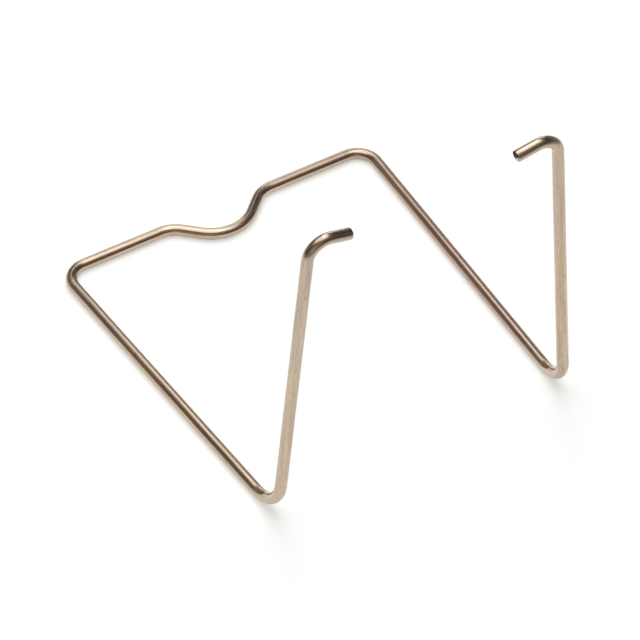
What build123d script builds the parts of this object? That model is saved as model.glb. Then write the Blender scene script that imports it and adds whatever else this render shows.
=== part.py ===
from build123d import *
import math
import os

# Relay retaining clip: one length of round spring wire, bent cold to shape.
# A bar with a small bow in its middle crosses the relay. An arm runs from each
# end of the bar, a leg rises from each arm, and each leg ends in a short foot
# that is turned inward to hook into the socket.
# All sizes are millimetres and degrees. Lengths of bar, arm, leg and foot run
# along the wire's centre line from the sharp corner of one bend to the next.

# Wire
wire_diameter = 1.0
cut_edge_radius = 0.12      # edge left by the shear at both cut ends

# Lengths
bar_span = 29.5
arm_length = 32.8
leg_length = 30.2
foot_length = 3.8

# Angles
arm_toe_in = 2.1            # each arm, towards the other arm
leg_toe_in = 4.4            # each leg, towards the other leg
leg_opening_angle = 92.2    # between arm and leg, seen from the side
foot_turn = 98.0            # bend from leg to foot, a little past square

# Bend radii on the centre line
bar_corner_radius = 1.9
leg_bend_radius = 3.4
foot_bend_radius = 1.7

# Bow in the middle of the bar
bow_depth = 2.8
bow_flank_angle = 43.0
bow_entry_radius = 2.6
bow_floor_radius = 3.6


def leg_direction(side):
    """Unit vector up one leg. Side is -1 at the left and 1 at the right."""
    opening = math.radians(leg_opening_angle)
    toe_in = math.radians(leg_toe_in)
    return Vector(
        -side * math.sin(toe_in),
        math.cos(opening) * math.cos(toe_in),
        math.sin(opening) * math.cos(toe_in),
    )


def foot_direction(side):
    """Unit vector along one foot, from its bend to the cut end."""
    leg = leg_direction(side)
    inward = Vector(-side, 0, 0)
    square = (inward - leg * inward.dot(leg)).normalized()
    turn = math.radians(foot_turn)
    return leg * math.cos(turn) + square * math.sin(turn)


def side_corners(side):
    """Sharp corners of one half of the wire, from the bar to the cut end."""
    toe_in = math.radians(arm_toe_in)
    arm = Vector(-side * math.sin(toe_in), -math.cos(toe_in), 0)
    bar_corner = Vector(side * bar_span / 2, 0, 0)
    leg_corner = bar_corner + arm * arm_length
    foot_corner = leg_corner + leg_direction(side) * leg_length
    cut_end = foot_corner + foot_direction(side) * foot_length
    return [bar_corner, leg_corner, foot_corner, cut_end]


def bow_corners():
    """Sharp corners of the bow, which lies in the plane of bar and arms."""
    flank = math.radians(bow_flank_angle)
    sharp_depth = bow_depth + bow_floor_radius * (1 / math.cos(flank) - 1)
    half_mouth = sharp_depth / math.tan(flank)
    return [Vector(-half_mouth, 0, 0), Vector(0, -sharp_depth, 0), Vector(half_mouth, 0, 0)]


def centre_line():
    """The wire's centre line, from the left cut end to the right one."""
    left = side_corners(-1)
    right = side_corners(1)
    corners = left[::-1] + bow_corners() + right
    side_radii = [foot_bend_radius, leg_bend_radius, bar_corner_radius]
    bow_radii = [bow_entry_radius, bow_floor_radius, bow_entry_radius]
    radii = side_radii + bow_radii + side_radii[::-1]
    return FilletPolyline(*corners, radius=radii)


def retaining_clip():
    """Round wire along the centre line, with its cut ends eased."""
    path = centre_line()
    section = Plane(origin=path @ 0, z_dir=path % 0) * Circle(wire_diameter / 2)
    wire = sweep(section, path=path)
    cut_faces = wire.faces().filter_by(GeomType.PLANE)
    wire = fillet(cut_faces.edges(), radius=cut_edge_radius)
    # The clip lies on its bar and arms, centred over the origin.
    box = wire.bounding_box()
    middle = box.center()
    return Pos(-middle.X, -middle.Y, -box.min.Z) * wire


os.makedirs("parts", exist_ok=True)
clip = retaining_clip()
export_step(clip, "parts/retaining_clip.step")
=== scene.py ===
import math

import bpy
from mathutils import Matrix, Vector


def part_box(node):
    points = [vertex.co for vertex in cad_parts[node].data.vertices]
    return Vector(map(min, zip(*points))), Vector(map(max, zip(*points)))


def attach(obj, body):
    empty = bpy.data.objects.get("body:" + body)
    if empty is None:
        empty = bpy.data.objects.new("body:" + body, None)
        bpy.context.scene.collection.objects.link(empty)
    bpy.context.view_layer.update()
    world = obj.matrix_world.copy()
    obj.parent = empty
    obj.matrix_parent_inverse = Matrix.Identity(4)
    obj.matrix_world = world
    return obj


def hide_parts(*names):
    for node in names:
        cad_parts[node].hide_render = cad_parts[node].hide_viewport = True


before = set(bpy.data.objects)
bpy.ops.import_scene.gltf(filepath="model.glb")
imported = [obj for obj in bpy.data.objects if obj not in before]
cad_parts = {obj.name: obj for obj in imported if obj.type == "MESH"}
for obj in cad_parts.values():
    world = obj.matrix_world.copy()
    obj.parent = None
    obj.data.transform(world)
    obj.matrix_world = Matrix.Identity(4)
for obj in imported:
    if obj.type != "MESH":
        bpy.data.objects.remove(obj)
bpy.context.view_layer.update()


# Retaining clip. It is one length of round spring wire, drawn bright, plated in a warm tone and bent cold.
# Nothing is fixed to it: the bar with its bow bears on the relay, and the feet that are turned in at the
# ends of the legs hook into the socket. The sizes are those of the CAD solid that it stands for.

mm = 0.001

wire_diameter = 1.0 * mm
cut_edge_radius = 0.12 * mm

bar_span = 29.5 * mm
arm_length = 32.8 * mm
arm_toe_in = math.radians(2.1)
leg_toe_in = math.radians(4.4)
leg_opening_angle = math.radians(92.2)

bar_corner_radius = 1.9 * mm
leg_bend_radius = 3.4 * mm

# No two bends come out quite alike, and in this piece the last ones show it. -1 is left and 1 is right.
leg_length = {-1: 29.95 * mm, 1: 30.45 * mm}
foot_bend_radius = {-1: 1.65 * mm, 1: 1.80 * mm}
foot_turn = {-1: math.radians(100.2), 1: math.radians(95.6)}
foot_length = {-1: 3.80 * mm, 1: 3.88 * mm}

bow_depth = 2.8 * mm
bow_flank_angle = math.radians(43.0)
bow_entry_radius = 2.6 * mm
bow_floor_radius = 3.6 * mm

# How finely the mesh follows it: the rings along straight runs, the points round the wire, and the steps in
# each bend and over each cut edge.
ring_spacing = 0.6 * mm
points_round = 48
steps_in_bend = 26
steps_on_edge = 6


def leg_direction(side):
    """Unit vector up one leg. Side is -1 at the left and 1 at the right."""
    return Vector((
        -side * math.sin(leg_toe_in),
        math.cos(leg_opening_angle) * math.cos(leg_toe_in),
        math.sin(leg_opening_angle) * math.cos(leg_toe_in),
    ))


def foot_direction(side):
    """Unit vector along one foot, turned inward from its leg by a little more than a right angle."""
    leg = leg_direction(side)
    inward = Vector((-side, 0, 0))
    square = (inward - leg * inward.dot(leg)).normalized()
    return leg * math.cos(foot_turn[side]) + square * math.sin(foot_turn[side])


def side_stations(side):
    """Points of one half from the bar's corner to the cut end: place, bend radius, share of the wire's width.
    The last few narrow the wire over the edge that the shear has left."""
    bar_corner = Vector((side * bar_span / 2, 0, 0))
    along_arm = Vector((-side * math.sin(arm_toe_in), -math.cos(arm_toe_in), 0))
    leg_corner = bar_corner + along_arm * arm_length
    foot_corner = leg_corner + leg_direction(side) * leg_length[side]
    cut_end = foot_corner + foot_direction(side) * foot_length[side]
    stations = [
        (bar_corner, bar_corner_radius, 1),
        (leg_corner, leg_bend_radius, 1),
        (foot_corner, foot_bend_radius[side], 1),
    ]
    for step in range(steps_on_edge + 1):
        angle = math.radians(90) * step / steps_on_edge
        short_of_end = cut_edge_radius * (1 - math.sin(angle))
        narrowed = cut_edge_radius * (1 - math.cos(angle))
        place = cut_end - foot_direction(side) * short_of_end
        stations.append((place, 0, 1 - narrowed / (wire_diameter / 2)))
    return stations


def bow_stations():
    """Sharp corners of the bow: where it leaves the bar, its deepest point and where it comes back."""
    sharp_depth = bow_depth + bow_floor_radius * (1 / math.cos(bow_flank_angle) - 1)
    half_mouth = sharp_depth / math.tan(bow_flank_angle)
    return [
        (Vector((-half_mouth, 0, 0)), bow_entry_radius, 1),
        (Vector((0, -sharp_depth, 0)), bow_floor_radius, 1),
        (Vector((half_mouth, 0, 0)), bow_entry_radius, 1),
    ]


stations = side_stations(-1)[::-1] + bow_stations() + side_stations(1)

path_mesh = bpy.data.meshes.new("wire_path")
path_mesh.from_pydata([place for place, _, _ in stations],
                      [(i, i + 1) for i in range(len(stations) - 1)], [])
for name, column in (("bend_radius", 1), ("width_share", 2)):
    values = path_mesh.attributes.new(name, "FLOAT", "POINT")
    for i, station in enumerate(stations):
        values.data[i].value = station[column]
wire_path = bpy.data.objects.new("wire_path", path_mesh)
bpy.context.scene.collection.objects.link(wire_path)


class Socket:
    """One output of a node. Sums on it add the Math node they need, or a Vector Math node on a vector. One
    with no output only stands for its tree."""

    def __init__(self, tree, output=None):
        self.tree = tree
        self.output = output

    def add(self, kind, settings={}, inputs={}, output=0):
        """A new node in the same tree. Its settings come first, then the values or links of its sockets."""
        node = self.tree.nodes.new(kind)
        for name, value in settings.items():
            setattr(node, name, value)
        for name, value in inputs.items():
            if isinstance(value, Socket):
                self.tree.links.new(value.output, node.inputs[name])
            else:
                node.inputs[name].default_value = value
        return Socket(self.tree, node.outputs[output] if len(node.outputs) else None)

    def beside(self, name):
        """Another output of the same node."""
        return Socket(self.tree, self.output.node.outputs[name])

    def sum(self, operation, *terms):
        on_vector = any(isinstance(t, Socket) and t.output.type in ("VECTOR", "RGBA") for t in terms)
        if on_vector:
            terms = [t if isinstance(t, (Socket, Vector, tuple)) else (t, t, t) for t in terms]
        kind = "ShaderNodeVectorMath" if on_vector else "ShaderNodeMath"
        return self.add(kind, {"operation": operation}, dict(enumerate(terms)))

    def __add__(self, other):
        return self.sum("ADD", self, other)

    def __sub__(self, other):
        return self.sum("SUBTRACT", self, other)

    def __rsub__(self, other):
        return self.sum("SUBTRACT", other, self)

    def __mul__(self, other):
        return self.sum("MULTIPLY", self, other)

    def __truediv__(self, other):
        return self.sum("DIVIDE", self, other)

    __radd__ = __add__
    __rmul__ = __mul__

    def at_least(self, other):
        return self.sum("MAXIMUM", self, other)

    def at_most(self, other):
        return self.sum("MINIMUM", self, other)

    def length(self):
        return self.add("ShaderNodeVectorMath", {"operation": "LENGTH"}, {0: self}, "Value")

    def ramp(self, zero, one):
        """Smooth step from 0 at one value to 1 at another, which may be the lower of the two."""
        return self.add("ShaderNodeMapRange", {"interpolation_type": "SMOOTHSTEP"},
                        {"Value": self, "From Min": zero, "From Max": one})

    def mix(self, first, second):
        """First colour where this is 0, second where it is 1. The node's colour sockets are its sixth and
        seventh, and the colour output is its third."""
        return self.add("ShaderNodeMix", {"data_type": "RGBA"}, {0: self, 6: first, 7: second}, 2)


# The tree bends the path with true arcs and runs the round wire along it. It keeps where each point was
# in the straight wire, so that the drawing lines of the finish follow every bend.
def wire_tree():
    tree = bpy.data.node_groups.new("bent_wire", "GeometryNodeTree")
    for name, kind in (("Geometry", "Geometry"), ("Wire Diameter", "Float"), ("Ring Spacing", "Float"),
                       ("Steps In Bend", "Int"), ("Points Round", "Int"), ("Finish", "Material")):
        tree.interface.new_socket(name, in_out="INPUT", socket_type="NodeSocket" + kind)
    tree.interface.new_socket("Geometry", in_out="OUTPUT", socket_type="NodeSocketGeometry")
    start = Socket(tree)
    given = start.add("NodeGroupInput", output="Geometry")

    def point_value(name):
        return start.add("GeometryNodeInputNamedAttribute", {"data_type": "FLOAT"}, {"Name": name})

    def keep(geometry, name, value, data_type="FLOAT"):
        return start.add("GeometryNodeStoreNamedAttribute", {"data_type": data_type, "domain": "POINT"},
                         {"Geometry": geometry, "Name": name, "Value": value})

    line = start.add("GeometryNodeMeshToCurve", inputs={"Mesh": given})
    line = start.add("GeometryNodeFilletCurve", {"mode": "POLY"},
                     {"Curve": line, "Count": given.beside("Steps In Bend"),
                      "Radius": point_value("bend_radius")})

    here = start.add("GeometryNodeInputPosition")
    index = start.add("GeometryNodeInputIndex")
    onward = start.add("GeometryNodeFieldAtIndex", {"data_type": "FLOAT_VECTOR", "domain": "POINT"},
                       {"Index": index + 1, "Value": here})
    gap = (onward - here).length()
    line = start.add("GeometryNodeSubdivideCurve",
                     inputs={"Curve": line, "Cuts": gap / given.beside("Ring Spacing")})

    along = start.add("GeometryNodeSplineParameter", output="Length")
    whole = start.add("GeometryNodeSplineLength", output="Length")
    line = keep(line, "along", along)
    line = keep(line, "from_cut_end", along.at_most(whole - along))

    section = start.add("GeometryNodeCurvePrimitiveCircle", {"mode": "RADIUS"},
                        {"Resolution": given.beside("Points Round"),
                         "Radius": given.beside("Wire Diameter") / 2})
    section = keep(section, "across", here, "FLOAT_VECTOR")

    wire = start.add("GeometryNodeCurveToMesh", inputs={
        "Curve": line, "Profile Curve": section, "Scale": point_value("width_share"), "Fill Caps": True})
    wire = start.add("GeometryNodeSetShadeSmooth", inputs={"Geometry": wire, "Shade Smooth": True})
    # The cut faces stay flat. They are the only ones with more than four corners, and the numbers to compare
    # are the node's third and fourth sockets.
    corners = start.add("GeometryNodeInputMeshFaceNeighbors", output="Vertex Count")
    cut_face = start.add("FunctionNodeCompare", {"data_type": "INT", "operation": "GREATER_THAN"},
                         {2: corners, 3: 4})
    wire = start.add("GeometryNodeSetShadeSmooth",
                     inputs={"Geometry": wire, "Selection": cut_face, "Shade Smooth": False})
    wire = start.add("GeometryNodeRealizeInstances", inputs={"Geometry": wire})
    wire = start.add("GeometryNodeSetMaterial",
                     inputs={"Geometry": wire, "Material": given.beside("Finish")})
    start.add("NodeGroupOutput", inputs={"Geometry": wire})
    return tree


def linear(red, green, blue):
    """A colour as a picture shows it, 0 to 255, made linear for the shader."""
    return tuple((c / 255 / 12.92) if c / 255 <= 0.04045 else ((c / 255 + 0.055) / 1.055) ** 2.4
                 for c in (red, green, blue)) + (1,)


plate_tone = linear(189, 171, 151)
rosy_tone = linear(193, 170, 154)
straw_tone = linear(188, 173, 149)
stain_tone = linear(162, 132, 108)

# The plating came out a little uneven along the wire, and on the right arm the tone is also darkened as
# painted shade where its highlight is weaker. For each stretch: its middle, in mm of wire from the left cut
# end, its reach to both sides, and its tint.
plating_and_shade_stretches = (
    (8, 10, (0.96, 1.00, 1.00)),      # top of the left leg, less rosy
    (46, 12, (1.00, 1.00, 0.95)),     # left arm, straw
    (107, 18, (0.92, 0.90, 0.91)),    # right arm, darker, as painted shade for its weaker highlight
    (110, 11, (0.98, 0.91, 0.93)),    # its middle, rosier and darker still, partly as painted shade
    (136, 8, (1.00, 1.00, 0.93)),     # lower end of the right leg, straw
)

# How bright the plating is where every pattern is 0, and what each pattern adds to that.
darkest_shade = 0.225
shade_of_bands = 0.65
shade_of_lines = 0.50
shade_of_mottle = 0.40

# Roughness where the die has left the wire brightest, and what is added to it.
polished = 0.11
rougher_on_lines = 0.05
rougher_on_mottle = 0.05
rougher_on_cut = 0.15
rougher_where_torn = 0.40

# Heights of the relief, in mm.
line_height = 0.0013
band_height = 0.0035
wave_height = 0.012
tear_height = 0.02

# Cut ends. The blade came from the lower front and left a smooth band there, and the rest tore off. The torn
# rest's dark tone is partly its own and partly painted shade. The first two limits say how far short of the
# end, in mm, the cut's look sets in. The other two are the band's, in mm from the wire's middle.
cut_tone = linear(186, 166, 142)
torn_and_shade_tone = linear(64, 48, 44)
cut_begins, cut_full = 0.10, 0.05
band_ends, torn_and_shaded_begins = 0.24, 0.04
blade_side = Vector((-1, 1, 0)).normalized()
tear_lines_per_mm = Vector((2, 16, 1))


def wire_finish():
    """Bright plated wire: faint lines from the drawing die, soft changes of tone, a few stains, and the two
    cut ends. A darker stretch on the right arm is painted shade, and the dark tone of the cut ends is partly
    painted shade. Every pattern is laid out on the straight wire, so it follows the bends."""
    material = bpy.data.materials.new("bright_drawn_wire")
    material.use_nodes = True
    material.node_tree.nodes.clear()
    start = Socket(material.node_tree)
    across = start.add("ShaderNodeAttribute", {"attribute_name": "across"}, output="Vector") / mm
    along = start.add("ShaderNodeAttribute", {"attribute_name": "along"}, output="Fac") / mm
    from_end = start.add("ShaderNodeAttribute", {"attribute_name": "from_cut_end"}, output="Fac") / mm

    def drawn(lines_across, run_length, detail=2.0):
        """Noise drawn out along the straight wire: so many lines per mm across it, each so many mm long."""
        spread = start.add("ShaderNodeCombineXYZ", inputs={"Z": along / run_length})
        return start.add("ShaderNodeTexNoise", {"noise_dimensions": "3D"},
                         {"Vector": across * lines_across + spread, "Scale": 1.0, "Detail": detail,
                          "Roughness": 0.55})

    drawing_lines = drawn(lines_across=8.0, run_length=4.0)
    broad_bands = drawn(lines_across=2.0, run_length=9.0)
    hue_bands = drawn(lines_across=2.6, run_length=5.0)
    hue_drift = drawn(lines_across=0.6, run_length=11.0)
    waviness = drawn(lines_across=0.8, run_length=3.5, detail=1.0)
    mottle = drawn(lines_across=5.0, run_length=0.5, detail=3.0)
    stains = drawn(lines_across=2.4, run_length=1.1, detail=3.0).ramp(zero=0.64, one=0.76)

    tone = hue_bands.ramp(zero=0.40, one=0.60).mix(rosy_tone, straw_tone)
    most_plate, most_stain = 0.7, 0.8
    tone = (most_plate * hue_drift.ramp(zero=0.35, one=0.65)).mix(tone, plate_tone)
    shade = (darkest_shade + shade_of_bands * broad_bands + shade_of_lines * drawing_lines
             + shade_of_mottle * mottle)
    tone = (most_stain * stains).mix(tone * shade, stain_tone)
    # Each stretch tints the tone; on the right arm the darkening is painted shade.
    for middle, reach, tint in plating_and_shade_stretches:
        away = along - middle
        share = (away * away).ramp(zero=reach ** 2, one=(reach / 2) ** 2)
        tone = share.mix(tone, tone * Vector(tint))

    on_cut = from_end.ramp(zero=cut_begins, one=cut_full)
    towards_blade = start.add("ShaderNodeVectorMath", {"operation": "DOT_PRODUCT"},
                              {0: across, 1: blade_side}, "Value")
    # The torn rest gets a dark tone that is partly painted shade.
    torn_and_shaded = towards_blade.ramp(zero=band_ends, one=torn_and_shaded_begins)
    tone = on_cut.mix(tone, torn_and_shaded.mix(cut_tone, torn_and_shade_tone))
    tear_lines = start.add("ShaderNodeTexNoise", {"noise_dimensions": "3D"},
                           {"Vector": across * tear_lines_per_mm, "Scale": 1.0, "Detail": 3.0})

    roughness = (polished + rougher_on_lines * drawing_lines.ramp(zero=0.35, one=0.7)
                 + rougher_on_mottle * mottle.ramp(zero=0.45, one=0.7)
                 + on_cut * (rougher_on_cut + rougher_where_torn * torn_and_shaded))
    relief = (drawing_lines * line_height + broad_bands * band_height + waviness * wave_height
              + on_cut * torn_and_shaded * tear_lines * tear_height)
    normal = start.add("ShaderNodeBump", inputs={"Strength": 1.0, "Distance": mm, "Height": relief},
                       output="Normal")
    metal = start.add("ShaderNodeBsdfPrincipled", inputs={
        "Base Color": tone, "Metallic": 1.0, "Roughness": roughness, "Normal": normal})
    start.add("ShaderNodeOutputMaterial", inputs={"Surface": metal})
    return material


bend = wire_path.modifiers.new("bend_and_draw", "NODES")
bend.node_group = wire_tree()
inputs = {"Wire Diameter": wire_diameter, "Ring Spacing": ring_spacing, "Steps In Bend": steps_in_bend,
          "Points Round": points_round, "Finish": wire_finish()}
for item in bend.node_group.interface.items_tree:
    if item.in_out == "INPUT" and item.name in inputs:
        bend[item.identifier] = inputs[item.name]

evaluated = wire_path.evaluated_get(bpy.context.evaluated_depsgraph_get())
clip_mesh = bpy.data.meshes.new_from_object(evaluated)
clip_mesh.name = "clip_wire"
bpy.data.objects.remove(wire_path)
clip = bpy.data.objects.new("clip_wire", clip_mesh)
bpy.context.scene.collection.objects.link(clip)

# The wire goes where the CAD solid lies: bar and arms on the surface, centred over the origin.
solid_low, solid_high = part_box("retaining_clip")
wire_low = Vector(min(v.co[k] for v in clip_mesh.vertices) for k in range(3))
wire_high = Vector(max(v.co[k] for v in clip_mesh.vertices) for k in range(3))
shift = (solid_low + solid_high - wire_low - wire_high) / 2
shift.z = solid_low.z - wire_low.z
clip_mesh.transform(Matrix.Translation(shift))

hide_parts("retaining_clip")
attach(clip, "root")


# Floor. A plain white sheet that the clip lies on, turned up a little at its far edge so that it stays
# behind the clip in low views. What the eye and the metal see of it near the clip is white, with the
# lamps' shadow, and it falls off to a pale grey further out.

floor_radius = 1.7
flat_radius = 0.9
rim_height = 0.16
rings = 28
sectors = 72

# The light patch round the clip, and the two tones. The glow adds to the lamps' light what white still lacks.
bright_middle = Vector((-0.030, 0.030, 0))
bright_radius = 0.085
fall_off = 0.11
near_tone = (0.94, 0.94, 0.94, 1)
far_tone = (0.70, 0.70, 0.70, 1)
glow_tone = (0.95, 1, 0.98, 1)
glow_strength = 0.43


def floor_mesh():
    points, faces = [(0, 0, 0)], []
    for ring in range(1, rings + 1):
        radius = floor_radius * ring / rings
        rise = max(0, (radius - flat_radius) / (floor_radius - flat_radius))
        for sector in range(sectors):
            angle = math.tau * sector / sectors
            points.append((radius * math.cos(angle), radius * math.sin(angle), rim_height * rise ** 2))
    for sector in range(sectors):
        following = (sector + 1) % sectors
        faces.append((0, 1 + sector, 1 + following))
        for ring in range(rings - 1):
            inner, outer = 1 + ring * sectors, 1 + (ring + 1) * sectors
            faces.append((inner + sector, outer + sector, outer + following, inner + following))
    mesh = bpy.data.meshes.new("floor")
    mesh.from_pydata(points, [], faces)
    mesh.shade_smooth()
    return mesh


def floor_finish():
    material = bpy.data.materials.new("white_sheet")
    material.use_nodes = True
    material.node_tree.nodes.clear()
    start = Socket(material.node_tree)
    ray = start.add("ShaderNodeLightPath", output="Is Camera Ray")
    seen = ray.at_least(ray.beside("Is Glossy Ray")).at_least(ray.beside("Is Transmission Ray"))
    place = start.add("ShaderNodeTexCoord", output="Object")
    further_out = (place - bright_middle).length().ramp(bright_radius, bright_radius + fall_off)
    colour = further_out.mix(near_tone, far_tone)
    sheet = start.add("ShaderNodeBsdfDiffuse", inputs={"Color": colour})
    glow = start.add("ShaderNodeEmission", inputs={
        "Color": glow_tone, "Strength": seen * (1 - further_out) * glow_strength})
    both = start.add("ShaderNodeAddShader", inputs={0: sheet, 1: glow})
    start.add("ShaderNodeOutputMaterial", inputs={"Surface": both})
    return material


floor = bpy.data.objects.new("floor", floor_mesh())
floor.data.materials.append(floor_finish())
bpy.context.scene.collection.objects.link(floor)


# Studio light. A large soft lamp hangs over the clip and a tall one stands behind it. Two small ones are
# nearer by: one gives the arms their narrow highlight, the other lies on the feet. The room's own light comes
# mostly from the ceiling. Its darker places are warm, and a little cooler to the right.


def way_to(azimuth, elevation):
    """Unit vector. Azimuth 0 is along +Y and 90 along +X."""
    azimuth, elevation = math.radians(azimuth), math.radians(elevation)
    return Vector((math.sin(azimuth) * math.cos(elevation), math.cos(azimuth) * math.cos(elevation),
                   math.sin(elevation)))


def soft_lamp(name, azimuth, elevation, distance, width, height, turn, brightness, tint):
    """A flat lamp that faces the clip, in degrees and metres. Its brightness is what a mirror in the scene
    would show."""
    lamp = bpy.data.lights.new(name, "AREA")
    lamp.shape = "RECTANGLE"
    lamp.size = width
    lamp.size_y = height
    lamp.energy = brightness * math.pi * width * height
    lamp.color = tint
    holder = bpy.data.objects.new(name, lamp)
    bpy.context.scene.collection.objects.link(holder)
    way = way_to(azimuth, elevation)
    facing = (-way).to_track_quat("-Z", "Y").to_matrix().to_4x4()
    holder.matrix_world = (Matrix.Translation(way * distance) @ facing
                           @ Matrix.Rotation(math.radians(turn), 4, "Z"))


soft_lamp("overhead_lamp", azimuth=78, elevation=74, distance=0.83, width=0.31, height=0.87, turn=-107,
          brightness=0.69, tint=(0.95, 1.0, 1.05))
soft_lamp("tall_back_lamp", azimuth=30, elevation=22, distance=1.84, width=0.75, height=1.30, turn=22,
          brightness=1.00, tint=(0.98, 1.0, 1.01))
soft_lamp("window_lamp", azimuth=21, elevation=55, distance=0.39, width=0.10, height=0.125, turn=0,
          brightness=1.8, tint=(0.97, 1.0, 1.01))
soft_lamp("near_lamp", azimuth=-45, elevation=80, distance=0.12, width=0.095, height=0.095, turn=0,
          brightness=1.05, tint=(0.97, 1.0, 1.02))

room_level = 0.10
darkest_level = 0.03
room_glows = (        # azimuth, elevation, how tight, strength
    (57, 75, 5, 0.98),       # ceiling
    (57, 1, 2, 0.20),        # pale wall, low behind
    (-44, 14, 95, 0.34),     # the same wall to the left
    (216, 8, 10, 0.40),      # low, in front
    (42, 42, 20, -0.62),     # dark shelf behind the lamps
    (-41, 43, 184, -0.24),   # dark corner to the left
    (93, 50, 10, -0.52),     # dark wall to the right
    (141, 8, 19, -0.10),     # dark cloth in front
)
plain_light = (1.00, 1.00, 1.00, 1)
warm_shade = (1.20, 1.00, 0.93, 1)
cool_shade = (1.04, 1.00, 1.12, 1)
cool_way = (75, 28)      # azimuth and elevation of the cooler side

room = bpy.data.worlds.new("room")
bpy.context.scene.world = room
room.use_nodes = True
room.node_tree.nodes.clear()
start = Socket(room.node_tree)
direction = start.add("ShaderNodeTexCoord", output="Generated")


def facing_share(azimuth, elevation):
    """1 straight towards a place in the room, -1 straight away from it."""
    return start.add("ShaderNodeVectorMath", {"operation": "DOT_PRODUCT"},
                     {0: direction, 1: way_to(azimuth, elevation)}, "Value")


def room_glow(azimuth, elevation, tightness, strength):
    """Light that falls off around one place in the room."""
    return strength * start.add("ShaderNodeMath", {"operation": "EXPONENT"},
                                {0: (facing_share(azimuth, elevation) - 1) * tightness})


level = sum((room_glow(*glow) for glow in room_glows), room_level).at_least(darkest_level)
shade_tint = facing_share(*cool_way).ramp(zero=0.72, one=0.94).mix(warm_shade, cool_shade)
tint = level.ramp(zero=0.2, one=0.9).mix(shade_tint, plain_light)
background = start.add("ShaderNodeBackground", inputs={"Color": tint, "Strength": level})
start.add("ShaderNodeOutputWorld", inputs={"Surface": background})


# Camera. A long lens, level, from the front left and above, as the photograph was taken.

aim_point = Vector((-0.00224, -0.00364, 0.00608))
camera_azimuth = 180 + 31.23
camera_elevation = 44.74
camera_distance = 0.472

camera_data = bpy.data.cameras.new("camera")
camera_data.sensor_width = 36.0
camera_data.lens = 327.65
camera = bpy.data.objects.new("camera", camera_data)
bpy.context.scene.collection.objects.link(camera)
to_camera = way_to(camera_azimuth, camera_elevation)
camera.matrix_world = (Matrix.Translation(aim_point + to_camera * camera_distance)
                       @ to_camera.to_track_quat("Z", "Y").to_matrix().to_4x4())
bpy.context.scene.camera = camera
bpy.context.scene.view_settings.view_transform = "Standard"
